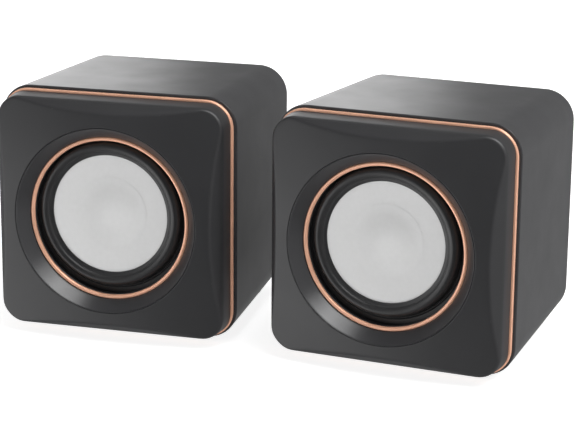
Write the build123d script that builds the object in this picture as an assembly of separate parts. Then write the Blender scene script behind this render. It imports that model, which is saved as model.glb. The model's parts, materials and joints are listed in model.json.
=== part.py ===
from build123d import *
from math import cos, radians, sin
import os

# Pair of cube desktop speakers, millimetres. Each speaker is drawn in its own frame: x to the
# right, y into the box from the plane of the front rim, z up from the driver's axis. The pair
# is then placed side by side, toed in, standing on z = 0.

# Layout of the pair
centre_spacing = 97.0       # between the two driver axes, at the rim plane
toe_in = 3.6                # degrees that each face is turned inward

# Front bezel
rim_width = 80.0
rim_corner = 8.0
wall_depth = 7.4            # rim plane back to the trim band
wall_flare = 0.4            # how much further out the side wall is at its back
dome_radius = 167.0         # the face is part of a sphere
dome_rise = 8.5             # the sphere's nearest point, ahead of the rim plane
facet_angle = 53.0          # degrees between a facet and the rim plane
bezel_wall = 2.2
spigot_width = 78.8
spigot_wall = 1.8
spigot_end = 12.0

# Trim band, gasket line and cabinet
trim_width = 82.4
trim_corner = 9.2
trim_thickness = 1.5
trim_round = 0.6
seal_width = 81.2
seal_corner = 8.8
seal_thickness = 0.5
cabinet_front = wall_depth + trim_thickness + seal_thickness
cabinet_back = 79.5
cabinet_width_front = 84.0
cabinet_width_back = 80.0
cabinet_corner = 10.4
cabinet_wall = 2.0
back_wall = 2.2
back_edge_round = 2.5
front_edge_round = 0.5

# Four long screws from the back hold the cabinet to the bezel
corner_post = 33.0          # x and z of the four
post_radius = 3.2
tube_radius = 4.0
tube_bore = 3.0
seat_front, seat_back = 15.0, 17.0
corner_screw = 1.35         # shank radius

# Driver opening
dish_radius = 31.85
dish_gap = 0.2
collar_wall = 1.5
collar_end = 2.0
dish_rim = -5.35
dish_throat, dish_throat_y = 28.3, -0.95
recess_radius = 26.8
ring_seat = 0.45
dish_back = 2.5

# Driver frame and its screws
flange_front = 3.3
flange_back = 4.3
flange_width = 62.0
flange_hole = 24.9
driver_hole = 25.0          # x and z of the four driver screws
driver_screw = 1.25
driver_lift = 1.3           # the driver is screwed on this far above the middle of its opening
ledge_y = 8.0
floor_y = 10.0
gasket_inner, gasket_outer = 28.7, 32.0

# Moving parts of the driver
surround_outer = 28.5
roll_middle, roll_front, roll_back = 23.0, -0.9, -0.45
roll_outer, roll_foot, roll_wall = 25.2, 1.9, 0.45
cone_radius = 21.0
cone_front = 0.6
cone_neck = 2.15
cone_thickness = 0.45
cap_radius = 12.6
cap_rise = 2.3
cap_thickness = 0.35
former_inner, former_outer = 10.0, 10.25
former_back = 15.5
coil_outer = 10.75
coil_front, coil_back = 10.8, 15.0
spider_outer = 20.4
spider_wave = 0.7

# Motor
plate_inner, plate_outer = 11.15, 19.0
plate_front, plate_back = 11.0, 14.0
magnet_inner, magnet_outer, magnet_back = 12.6, 22.0, 22.0
pole_radius, yoke_radius, yoke_back = 9.55, 21.0, 25.0
terminal_height = -27.6

# Stand and rear
foot_radius = 5.0
foot_drop = 1.8             # below the cabinet's lowest edge
foot_x, foot_front, foot_rear = 28.0, 21.0, 68.0
grommet_z = -28.0
grommet_bore = 2.1
grommet_neck = 4.0
pair_inlet_x = 12.0         # the powered speaker has two inlets, this far off its middle

# Amplifier and volume control, in the right speaker
board_front, board_back = 67.4, 69.0
board_width, board_height, board_z = 54.0, 44.0, 2.0
standoff_x, standoff_z = 23.0, 18.0
spacer_radius, spacer_bore = 3.0, 1.05
pot_z = 14.0
shaft_radius = 3.0
bushing_bore = 3.05         # running clearance round the shaft
bushing_radius = 3.4
knob_radius = 7.5
knob_front, knob_back = 80.2, 88.4
knob_ribs = 24

floor_z = -(cabinet_width_front / 2 + foot_drop)
inner_back = cabinet_back - back_wall

os.makedirs("parts", exist_ok=True)


# ---- drawing helpers ----

def rounded_square(width, corner, y):
    """Face of a square with round corners, across the depth axis at y."""
    return Plane(origin=(0, y, 0), x_dir=(1, 0, 0), z_dir=(0, -1, 0)) * RectangleRounded(width, width, corner)


def square_prism(width, corner, y0, y1, end_width=None, end_corner=None):
    end = rounded_square(end_width or width, end_corner or corner, y1)
    return loft([rounded_square(width, corner, y0), end])


def rod(x, z, radius, y0, y1):
    """Cylinder along the depth axis from y0 to y1."""
    plane = Plane(origin=(x, y0, z), x_dir=(1, 0, 0), z_dir=(0, 1, 0))
    return extrude(plane * Circle(radius), y1 - y0)


def tube(x, z, outer, inner, y0, y1):
    return rod(x, z, outer, y0, y1) - rod(x, z, inner, y0 - 1, y1 + 1)


def block(x, z, width, height, y0, y1):
    return Pos(x, (y0 + y1) / 2, z) * Box(width, y1 - y0, height)


def turned(points):
    """Solid turned about the depth axis from (radius, y) corner points."""
    return revolve(make_face(Polyline(*points, close=True)), Axis.Y)


def four(distance):
    return [(sx * distance, sz * distance) for sx in (-1, 1) for sz in (-1, 1)]


def lead(points, bend, radius):
    """Round wire through the points, with its bends rounded."""
    path = FilletPolyline(*points, radius=bend)
    return sweep(Plane(origin=path @ 0, z_dir=path % 0) * Circle(radius), path)


def together(solids):
    return Compound(children=list(solids))


# ---- front ----

def face_block(inset, y_back):
    """Everything behind the domed face and its four facets, moved inward by inset."""
    width = rim_width - 2 * inset
    corner = rim_corner - 0.7 * inset
    flare = wall_flare * y_back / wall_depth
    front = square_prism(width, corner, -dome_rise - 1, 0)
    back = square_prism(width, corner, 0, y_back, width + 2 * flare, corner + flare)
    solid = (front + back) & Pos(0, dome_radius - dome_rise, 0) * Sphere(dome_radius - inset)
    slope = radians(facet_angle)
    edge = rim_width / 2 - inset / sin(slope)
    rise, reach = 12.0, 12.0
    wedge = make_face(Polyline(
        (edge, 0), (edge - rise * cos(slope) / sin(slope), -rise), (edge + reach, -rise), (edge + reach, 0),
        close=True,
    ))
    for turn in (0, 90, 180, 270):
        solid -= Rot(0, turn, 0) * extrude(wedge, rim_width, both=True)
    return solid


def make_bezel():
    spigot = square_prism(spigot_width, rim_corner, wall_depth - 1, spigot_end)
    opening_width = spigot_width - 2 * spigot_wall
    opening = square_prism(opening_width, rim_corner - spigot_wall, wall_depth - 2, spigot_end + 1)
    shell = face_block(0, wall_depth) + spigot - face_block(bezel_wall, wall_depth) - opening
    core = face_block(bezel_wall / 2, wall_depth)
    core += square_prism(rim_width, rim_corner, wall_depth, seat_front)
    hole = dish_radius + dish_gap
    shell += core & rod(0, 0, hole + collar_wall, -dome_rise, collar_end)
    for x, z in four(driver_hole):
        shell += core & rod(x, z + driver_lift, 3.0, -dome_rise, flange_front)
    for x, z in four(corner_post):
        shell += core & rod(x, z, post_radius, -dome_rise, seat_front)
    shell -= rod(0, 0, hole, -12, spigot_end)
    for x, z in four(driver_hole):
        shell -= rod(x, z + driver_lift, driver_screw + 0.05, -1.6, flange_front + 1)
    for x, z in four(corner_post):
        shell -= rod(x, z, corner_screw + 0.05, 5.6, seat_front + 1)
    return shell


def square_ring(outer_width, outer_corner, y0, y1, edge_round=0):
    outer = square_prism(outer_width, outer_corner, y0, y1)
    if edge_round:
        ends = outer.faces().sort_by(Axis.Y)
        outer = fillet(ends[0].edges() + ends[-1].edges(), edge_round)
    return outer - square_prism(spigot_width + 0.1, rim_corner, y0 - 1, y1 + 1)


def make_dish():
    ring = turned([
        (dish_radius, dish_rim), (dish_throat, dish_throat_y), (dish_throat, ring_seat),
        (recess_radius, ring_seat), (recess_radius, dish_back), (dish_radius, dish_back),
    ])
    return ring - tube(0, 0, dish_radius - 1.4, dish_throat + 0.6, 0.6, dish_back + 1)


def make_driver_ring():
    inner, outer = recess_radius + 0.05, dish_throat - 0.05
    top = ring_seat - 0.8
    bead = ThreePointArc((outer, top), ((inner + outer) / 2, top - (outer - inner) / 2), (inner, top))
    base = Polyline((inner, top), (inner, ring_seat), (outer, ring_seat), (outer, top))
    return revolve(make_face([bead, base]), Axis.Y)


# ---- driver ----

def make_driver_frame():
    basket = turned([
        (flange_hole, flange_front), (23.0, ledge_y), (17.6, ledge_y), (16.4, floor_y), (12.2, floor_y),
        (12.2, plate_front), (17.1, plate_front), (18.3, ledge_y + 1), (23.8, ledge_y + 1),
        (25.95, flange_front),
    ])
    flange = square_prism(flange_width, 8.0, flange_front, flange_back) - rod(0, 0, 25.5, 0, 10)
    frame = basket + flange
    for x, z in four(driver_hole):
        frame -= rod(x, z, driver_screw + 0.35, 0, 10)
    for x, z in ((24, 0), (-24, 0), (0, 24), (0, -24)):
        frame -= block(x, z, 6 if x else 20, 6 if z else 20, flange_back + 0.6, ledge_y - 0.3)
    return frame


def make_driver_screws():
    screws = []
    for x, z in four(driver_hole):
        head = rod(x, z, 2.6, flange_back, flange_back + 1.6)
        head = fillet(head.faces().sort_by(Axis.Y)[-1].edges(), 0.8)
        slot = block(x, z, 3.0, 0.6, flange_back + 0.9, 10) + block(x, z, 0.6, 3.0, flange_back + 0.9, 10)
        screws.append(head + rod(x, z, driver_screw, -1.2, flange_back) - slot)
    return together(screws)


def make_surround():
    lip_r, lip_front, flange_y = cone_radius - 0.65, cone_front - 0.4, flange_front - 0.5
    inner = roll_outer - roll_wall
    front = ThreePointArc((cone_radius - 0.2, lip_front), (roll_middle, roll_front), (roll_outer, roll_foot))
    back = ThreePointArc((inner, roll_foot), (roll_middle, roll_back), (cone_radius - 0.1, cone_front))
    flange = Polyline(
        (roll_outer, roll_foot), (roll_outer, flange_y), (surround_outer, flange_y),
        (surround_outer, flange_front), (inner, flange_front), (inner, roll_foot),
    )
    lip = Polyline(
        (cone_radius - 0.1, cone_front), (lip_r, cone_front),
        (lip_r, lip_front), (cone_radius - 0.2, lip_front),
    )
    return revolve(make_face([front, flange, back, lip]), Axis.Y)


def make_cone():
    return turned([
        (cone_radius, cone_front), (former_outer, cone_neck),
        (former_outer, cone_neck + cone_thickness), (cone_radius, cone_front + cone_thickness),
    ])


def make_dust_cap():
    slope = (cone_neck - cone_front) / (cone_radius - former_outer)
    base = cone_front + (cone_radius - cap_radius) * slope - 0.03
    radius = (cap_radius ** 2 + cap_rise ** 2) / (2 * cap_rise)
    middle = Pos(0, base - cap_rise + radius, 0)
    return middle * (Sphere(radius) - Sphere(radius - cap_thickness)) & rod(0, 0, cap_radius, base - 5, base)


def make_spider():
    folds = 7
    step = (spider_outer - 3 - former_outer) / folds
    line = [(former_outer + 0.03 + i * step, ledge_y - 0.3 - spider_wave * (i % 2)) for i in range(folds)]
    line += [(spider_outer - 3, ledge_y - 0.3), (spider_outer, ledge_y - 0.3)]
    return turned(line + [(r, y + 0.3) for r, y in reversed(line)])


def make_coil_leads():
    start = cone_front + (cone_radius - 15) * 0.1442 + cone_thickness + 0.05
    points = [(start + 1.0, -15.6), (6.4, -19.0), (6.3, -24.0), (7.4, terminal_height + 0.75)]
    return together(lead([(x, start, -15)] + [(x, y, z) for y, z in points], 0.6, 0.25) for x in (-3, 3))


def make_terminals():
    return together(block(x, terminal_height - 0.85, 2.4, 0.5, 6.0, 13.0) for x in (-3, 3))


# ---- cabinet ----

def cabinet_block(inset, y0, y1):
    """The tapered outside shape between two depths, moved inward by inset."""
    taper = (cabinet_width_front - cabinet_width_back) / (cabinet_back - cabinet_front)
    width0 = cabinet_width_front - taper * (y0 - cabinet_front) - 2 * inset
    width1 = cabinet_width_front - taper * (y1 - cabinet_front) - 2 * inset
    return square_prism(width0, cabinet_corner - inset, y0, y1, width1)


def make_cabinet_outside():
    solid = cabinet_block(0, cabinet_front, cabinet_back)
    ends = solid.faces().sort_by(Axis.Y)
    solid = fillet(ends[-1].edges(), back_edge_round)
    return fillet(solid.faces().sort_by(Axis.Y)[0].edges(), front_edge_round)


def make_cabinet(inlets, powered):
    outside = make_cabinet_outside()
    shell = outside - cabinet_block(cabinet_wall, cabinet_front - 1, inner_back)
    for x, z in four(corner_post):
        shell += outside & rod(x, z, tube_radius, seat_front, cabinet_back)
    for x, z in four(corner_post):
        shell -= rod(x, z, tube_bore, seat_back, cabinet_back + 1)
        shell -= rod(x, z, corner_screw + 0.25, 0, cabinet_back)
    for x in inlets:
        shell -= rod(x, grommet_z, grommet_neck, 70, 90)
    if powered:
        shell -= rod(0, pot_z, bushing_radius + 0.1, 70, 90)
    return shell


def make_cabinet_screws():
    screws = []
    for x, z in four(corner_post):
        head = rod(x, z, 2.7, seat_back, seat_back + 2)
        slot = block(x, z, 3.2, 0.7, seat_back + 1, 30) + block(x, z, 0.7, 3.2, seat_back + 1, 30)
        screws.append(head + rod(x, z, corner_screw, 6.2, seat_back) - slot)
    return together(screws)


def make_feet():
    outside = make_cabinet_outside()
    feet = []
    for x in (-foot_x, foot_x):
        for y in (foot_front, foot_rear):
            pad = Pos(x, y, floor_z) * Cylinder(foot_radius, 6, align=(Align.CENTER, Align.CENTER, Align.MIN))
            pad = chamfer(pad.faces().sort_by(Axis.Z)[0].edges(), 0.5)
            feet.append(pad - outside)
    return together(feet)


def make_grommets(inlets):
    grommets = []
    for x in inlets:
        collar = rod(x, grommet_z, 5.4, cabinet_back, cabinet_back + 1.6)
        collar = fillet(collar.faces().sort_by(Axis.Y)[-1].edges(), 0.6)
        body = collar + rod(x, grommet_z, grommet_neck, inner_back, cabinet_back)
        body += rod(x, grommet_z, 5.2, inner_back - 1.2, inner_back)
        grommets.append(body - rod(x, grommet_z, grommet_bore, 70, 90))
    return together(grommets)


# ---- amplifier and volume control ----

def make_board():
    board = block(0, board_z, board_width, board_height, board_front, board_back)
    for x in (-standoff_x, standoff_x):
        for z in (board_z - standoff_z, board_z + standoff_z):
            board -= rod(x, z, 1.2, 60, 80)
    return board


def make_board_spacers():
    """Four nylon spacers, bonded to the rear wall, that the board screws bite into."""
    spacers = []
    for x in (-standoff_x, standoff_x):
        for z in (board_z - standoff_z, board_z + standoff_z):
            pilot = rod(x, z, spacer_bore, board_back - 1, inner_back - 1)
            spacers.append(rod(x, z, spacer_radius, board_back, inner_back) - pilot)
    return together(spacers)


def make_board_screws():
    screws = []
    for x in (-standoff_x, standoff_x):
        for z in (board_z - standoff_z, board_z + standoff_z):
            screws.append(rod(x, z, 2.2, board_front - 1.4, board_front) + rod(x, z, 1.0, board_front, 74))
    return together(screws)


can_sizes = ((12, -8, 4.0, 11.5), (12, 3, 4.0, 11.5), (-14, 12, 3.2, 8.0), (20, -8, 2.5, 6.0))


def make_capacitors():
    cans = []
    for x, z, radius, length in can_sizes:
        can = rod(x, z, radius, board_front - length, board_front)
        cans.append(fillet(can.faces().sort_by(Axis.Y)[0].edges(), 0.5))
    return together(cans)


def make_wire_header():
    return block(-18, -10, 8, 6, 61.4, board_front) - block(-18, -10, 6.4, 4.4, 60, 62.4)


def make_speaker_wires():
    wires = []
    for offset in (-1.0, 1.0):
        end = (3 * offset, 13.1, terminal_height + driver_lift - 0.85)
        points = [(-18 + 1.6 * offset, 62.4, -10), (-18 + 1.6 * offset, 50, -11), (-12 + 2 * offset, 38, -22),
                  (-6 + 2 * offset, 26, -29.5), (3 * offset, 18, -29.5), end]
        wires.append(lead(points, 2.5, 0.6))
    return together(wires)


def make_pot():
    body = block(0, pot_z, 11, 11, board_back, 75.3)
    body += rod(0, pot_z, bushing_radius, 75.3, cabinet_back + 2.6)
    return body - rod(0, pot_z, bushing_bore, 70.4, 90)


def make_pot_nut():
    plane = Plane(origin=(0, cabinet_back, pot_z), x_dir=(1, 0, 0), z_dir=(0, 1, 0))
    nut = extrude(plane * RegularPolygon(4.5, 6, major_radius=False), 1.7)
    return nut - rod(0, pot_z, bushing_radius + 0.05, 70, 90)


def make_pot_shaft():
    shaft = rod(0, pot_z, shaft_radius, 70.5, knob_back - 2)
    return shaft - block(0, pot_z + shaft_radius + 0.5, 8, 4, knob_back - 6, knob_back)


def make_knob():
    knob = rod(0, pot_z, knob_radius, knob_front, knob_back)
    knob = fillet(knob.faces().sort_by(Axis.Y)[-1].edges(), 0.8)
    groove = rod(knob_radius + 0.25, pot_z, 0.55, knob_front - 1, knob_back + 1)
    turn = Pos(0, 0, pot_z) * Rot(0, 360 / knob_ribs, 0) * Pos(0, 0, -pot_z)
    for _ in range(knob_ribs):
        knob -= groove
        groove = turn * groove
    knob -= rod(0, pot_z, 6.0, knob_front - 1, knob_front + 2.4)
    pointer = block(0, pot_z + 4.6, 0.8, 4.0, knob_back - 0.4, knob_back + 1)
    return knob - make_pot_shaft() - pointer


# ---- assembly ----

def make_yoke():
    back_plate = rod(0, 0, yoke_radius, magnet_back, yoke_back)
    return back_plate + rod(0, 0, pole_radius, plate_front, magnet_back)


def driver_pieces():
    """The driver about its own axis, before it is lifted to its place."""
    return {
        "driver_gasket": tube(0, 0, gasket_outer, gasket_inner, dish_back, flange_front),
        "driver_frame": make_driver_frame(),
        "driver_screws": make_driver_screws(),
        "surround": make_surround(),
        "cone": make_cone(),
        "dust_cap": make_dust_cap(),
        "coil_former": tube(0, 0, former_outer, former_inner, cone_neck, former_back),
        "voice_coil": tube(0, 0, coil_outer, former_outer, coil_front, coil_back),
        "spider": make_spider(),
        "coil_leads": make_coil_leads(),
        "top_plate": tube(0, 0, plate_outer, plate_inner, plate_front, plate_back),
        "magnet": tube(0, 0, magnet_outer, magnet_inner, plate_back, magnet_back),
        "yoke": make_yoke(),
        "terminal_board": block(0, terminal_height, 12, 1.2, flange_back, 11.3),
        "terminals": make_terminals(),
    }


def speaker_pieces(inlets, powered):
    trim_back = wall_depth + trim_thickness
    pieces = {name: Pos(0, 0, driver_lift) * shape for name, shape in driver_pieces().items()}
    pieces |= {
        "cabinet": make_cabinet(inlets, powered),
        "cabinet_gasket": square_ring(seal_width, seal_corner, trim_back, cabinet_front),
        "trim_band": square_ring(trim_width, trim_corner, wall_depth, trim_back, trim_round),
        "bezel": make_bezel(),
        "dish": make_dish(),
        "driver_ring": make_driver_ring(),
        "cabinet_screws": make_cabinet_screws(),
        "feet": make_feet(),
        "cable_grommet": make_grommets(inlets),
    }
    if powered:
        pieces |= {
            "amplifier_board": make_board(),
            "amplifier_chip": block(-5, -6, 10, 7, board_front - 2, board_front),
            "board_spacers": make_board_spacers(),
            "board_screws": make_board_screws(),
            "capacitors": make_capacitors(),
            "wire_header": make_wire_header(),
            "speaker_wires": make_speaker_wires(),
            "volume_pot": make_pot(),
            "pot_nut": make_pot_nut(),
            "pot_shaft": make_pot_shaft(),
            "volume_knob": make_knob(),
        }
    return pieces


placed = {}
speakers = (("left", -1, [0.0], False), ("right", 1, [-pair_inlet_x, pair_inlet_x], True))
for name, side, inlets, powered in speakers:
    spot = Pos(side * centre_spacing / 2, 0, -floor_z) * Rot(0, 0, -side * toe_in)
    for piece, shape in speaker_pieces(inlets, powered).items():
        placed[f"{name}_{piece}"] = spot * shape

# The origin is under the middle of the pair's bounding box.
boxes = [shape.bounding_box() for shape in placed.values()]
middle_x = (min(b.min.X for b in boxes) + max(b.max.X for b in boxes)) / 2
middle_y = (min(b.min.Y for b in boxes) + max(b.max.Y for b in boxes)) / 2
print("moved to the middle by", round(-middle_x, 4), round(-middle_y, 4))
for node, shape in placed.items():
    export_step(Pos(-middle_x, -middle_y, 0) * shape, f"parts/{node}.step")
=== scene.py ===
import json
import math

import bmesh
import bpy
import numpy as np
from mathutils import Matrix, Vector


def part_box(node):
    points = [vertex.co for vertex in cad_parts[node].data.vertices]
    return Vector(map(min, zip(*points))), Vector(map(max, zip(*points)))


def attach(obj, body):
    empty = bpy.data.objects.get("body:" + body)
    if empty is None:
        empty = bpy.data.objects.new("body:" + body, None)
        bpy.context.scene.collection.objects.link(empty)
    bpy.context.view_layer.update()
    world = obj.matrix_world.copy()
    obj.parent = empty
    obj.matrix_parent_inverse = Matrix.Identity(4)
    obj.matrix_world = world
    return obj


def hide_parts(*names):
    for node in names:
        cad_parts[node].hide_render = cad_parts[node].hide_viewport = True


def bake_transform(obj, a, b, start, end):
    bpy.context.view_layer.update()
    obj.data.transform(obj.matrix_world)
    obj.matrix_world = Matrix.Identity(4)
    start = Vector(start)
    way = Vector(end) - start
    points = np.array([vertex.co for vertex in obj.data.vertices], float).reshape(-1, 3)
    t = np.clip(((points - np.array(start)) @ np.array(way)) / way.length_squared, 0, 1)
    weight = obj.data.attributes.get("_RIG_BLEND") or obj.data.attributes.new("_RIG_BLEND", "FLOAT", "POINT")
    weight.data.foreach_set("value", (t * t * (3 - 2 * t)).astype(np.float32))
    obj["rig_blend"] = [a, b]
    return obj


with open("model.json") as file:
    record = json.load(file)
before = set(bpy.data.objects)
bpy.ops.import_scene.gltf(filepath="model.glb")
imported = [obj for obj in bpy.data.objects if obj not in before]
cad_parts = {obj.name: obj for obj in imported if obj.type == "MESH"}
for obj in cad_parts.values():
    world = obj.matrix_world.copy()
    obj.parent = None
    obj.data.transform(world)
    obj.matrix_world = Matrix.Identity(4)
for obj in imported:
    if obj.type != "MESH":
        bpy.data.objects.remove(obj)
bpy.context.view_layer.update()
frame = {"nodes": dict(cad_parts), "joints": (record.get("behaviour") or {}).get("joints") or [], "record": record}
scene = bpy.context.scene
millimetre = 0.001

# Every shape is drawn in one speaker's own millimetres: x to the right, y into the box from the
# plane of the front rim, z up from the driver's axis. placeOf turns that into the frame.
plateMiddle = 12.5  # the driver's top plate lies this far behind the rim plane
driverLift = 1.3  # how far the driver sits above the middle of its opening


def findPlace(side):
    travel = next(j for j in frame["joints"] if j["name"] == f"{side}_cone_travel")
    forward = Vector(travel["axis"]).normalized()
    low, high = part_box(f"{side}_top_plate")
    rimCentre = (low + high) / 2 + forward * plateMiddle * millimetre
    rimCentre.z -= driverLift * millimetre
    across = (-forward).cross(Vector((0, 0, 1)))
    turn = Matrix((across, -forward, Vector((0, 0, 1)))).transposed().to_4x4()
    return Matrix.Translation(rimCentre) @ turn @ Matrix.Scale(millimetre, 4)


placeOf = {side: findPlace(side) for side in ("left", "right")}
bodyOf = {side: f"{side}_speaker" for side in placeOf}
coneBodyOf = {side: f"{side}_cone_assembly" for side in placeOf}
print("frame loaded, speakers at", [tuple(round(v, 4) for v in m.translation) for m in placeOf.values()])


# Making materials

def addNode(tree, kind, inputs=None, **settings):
    node = tree.nodes.new(kind)
    for key, value in settings.items():
        setattr(node, key, value)
    for key, value in (inputs or {}).items():
        if isinstance(value, bpy.types.NodeSocket):
            tree.links.new(value, node.inputs[key])
        else:
            node.inputs[key].default_value = value
    return node


def startMaterial(name):
    material = bpy.data.materials.new(name)
    material.use_nodes = True
    tree = material.node_tree
    shader = tree.nodes["Principled BSDF"]
    place = addNode(tree, "ShaderNodeTexCoord").outputs["Object"]
    return material, tree, shader, place


def varyColour(tree, shader, place, dark, light, scale, detail=3.0):
    # slow drift between two close colours, so no surface is one flat tone
    noise = addNode(tree, "ShaderNodeTexNoise", {"Vector": place, "Scale": scale, "Detail": detail})
    ramp = addNode(tree, "ShaderNodeValToRGB", {"Fac": noise.outputs["Fac"]})
    ramp.color_ramp.elements[0].position, ramp.color_ramp.elements[1].position = 0.3, 0.7
    ramp.color_ramp.elements[0].color = (*dark, 1)
    ramp.color_ramp.elements[1].color = (*light, 1)
    tree.links.new(ramp.outputs["Color"], shader.inputs["Base Color"])
    return ramp


def varyRoughness(tree, shader, place, low, high, scale):
    noise = addNode(tree, "ShaderNodeTexNoise", {"Vector": place, "Scale": scale, "Detail": 4.0})
    span = addNode(tree, "ShaderNodeMapRange", {
        "Value": noise.outputs["Fac"], "From Min": 0.3, "From Max": 0.7, "To Min": low, "To Max": high})
    tree.links.new(span.outputs["Result"], shader.inputs["Roughness"])


def addBump(tree, shader, height, strength, distance):
    bump = addNode(tree, "ShaderNodeBump", {"Height": height, "Strength": strength, "Distance": distance})
    tree.links.new(bump.outputs["Normal"], shader.inputs["Normal"])
    return bump


def mouldedPlastic(name, tone, roughness, grain, depth, specular=0.5, coat=0.0):
    # spark-eroded mould grain: fine bumps, with the gloss drifting a little over the part
    material, tree, shader, place = startMaterial(name)
    varyColour(tree, shader, place, [c * 0.93 for c in tone], [c * 1.07 for c in tone], 35)
    varyRoughness(tree, shader, place, roughness - 0.025, roughness + 0.025, 60)
    pits = addNode(tree, "ShaderNodeTexNoise", {
        "Vector": place, "Scale": grain, "Detail": 2.0, "Roughness": 0.6})
    addBump(tree, shader, pits.outputs["Fac"], depth, 0.00004)
    shader.inputs["Specular IOR Level"].default_value = specular
    shader.inputs["Coat Weight"].default_value = coat
    shader.inputs["Coat Roughness"].default_value = 0.2
    return material


def copperPlating(name, tone, roughness):
    # plated plastic: metal colour, fine ripple left by the plating bath
    material, tree, shader, place = startMaterial(name)
    varyColour(tree, shader, place, [c * 0.95 for c in tone], [min(1, c * 1.04) for c in tone], 90)
    varyRoughness(tree, shader, place, roughness - 0.04, roughness + 0.04, 400)
    ripple = addNode(tree, "ShaderNodeTexNoise", {"Vector": place, "Scale": 1500.0, "Detail": 3.0})
    addBump(tree, shader, ripple.outputs["Fac"], 0.06, 0.00003)
    shader.inputs["Metallic"].default_value = 0.4
    return material


def softRubber(name, tone, roughness, grain=2500.0):
    material, tree, shader, place = startMaterial(name)
    varyColour(tree, shader, place, [c * 0.85 for c in tone], [c * 1.15 for c in tone], 120)
    varyRoughness(tree, shader, place, roughness - 0.05, roughness + 0.05, 250)
    skin = addNode(tree, "ShaderNodeTexNoise", {"Vector": place, "Scale": grain, "Detail": 3.0})
    addBump(tree, shader, skin.outputs["Fac"], 0.08, 0.00004)
    return material


def pressedPulp(name, tone):
    # coated paper: short fibres that barely show through the lacquer
    material, tree, shader, place = startMaterial(name)
    varyColour(tree, shader, place, [c * 0.985 for c in tone], [min(1, c * 1.015) for c in tone], 700, 6.0)
    varyRoughness(tree, shader, place, 0.5, 0.6, 500)
    fibre = addNode(tree, "ShaderNodeTexVoronoi", {"Vector": place, "Scale": 2600.0})
    addBump(tree, shader, fibre.outputs["Distance"], 0.05, 0.00003)
    shader.inputs["Specular IOR Level"].default_value = 0.35
    return material


def platedSteel(name, tone, roughness, metallic=1.0):
    material, tree, shader, place = startMaterial(name)
    varyColour(tree, shader, place, [c * 0.88 for c in tone], tone, 260)
    stretched = addNode(tree, "ShaderNodeMapping", {"Vector": place, "Scale": (1.0, 12.0, 1.0)})
    noise = addNode(tree, "ShaderNodeTexNoise", {"Vector": stretched.outputs["Vector"], "Scale": 900.0})
    span = addNode(tree, "ShaderNodeMapRange", {
        "Value": noise.outputs["Fac"], "To Min": roughness - 0.08, "To Max": roughness + 0.08})
    tree.links.new(span.outputs["Result"], shader.inputs["Roughness"])
    addBump(tree, shader, noise.outputs["Fac"], 0.08, 0.00003)
    shader.inputs["Metallic"].default_value = metallic
    return material


def bandedMaterial(name, dark, light, bands, metallic, roughness):
    # rows of turns or threads across the depth of a wound or woven part
    material, tree, shader, place = startMaterial(name)
    wave = addNode(tree, "ShaderNodeTexWave", {
        "Vector": place, "Scale": bands, "Distortion": 0.4}, bands_direction="Y")
    ramp = addNode(tree, "ShaderNodeValToRGB", {"Fac": wave.outputs["Fac"]})
    ramp.color_ramp.elements[0].color = (*dark, 1)
    ramp.color_ramp.elements[1].color = (*light, 1)
    tree.links.new(ramp.outputs["Color"], shader.inputs["Base Color"])
    addBump(tree, shader, wave.outputs["Fac"], 0.4, 0.0001)
    shader.inputs["Metallic"].default_value = metallic
    shader.inputs["Roughness"].default_value = roughness
    return material


def circuitBoard(name):
    # green solder mask over copper tracks
    material, tree, shader, place = startMaterial(name)
    tracks = addNode(tree, "ShaderNodeTexVoronoi", {"Vector": place, "Scale": 220.0}, distance="MANHATTAN")
    ramp = addNode(tree, "ShaderNodeValToRGB", {"Fac": tracks.outputs["Distance"]})
    ramp.color_ramp.interpolation = "CONSTANT"
    ramp.color_ramp.elements[0].color = (0.02, 0.16, 0.06, 1)
    ramp.color_ramp.elements[1].color = (0.04, 0.26, 0.10, 1)
    ramp.color_ramp.elements[1].position = 0.45
    tree.links.new(ramp.outputs["Color"], shader.inputs["Base Color"])
    varyRoughness(tree, shader, place, 0.3, 0.42, 200)
    addBump(tree, shader, ramp.outputs["Color"], 0.2, 0.00005)
    return material


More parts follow.
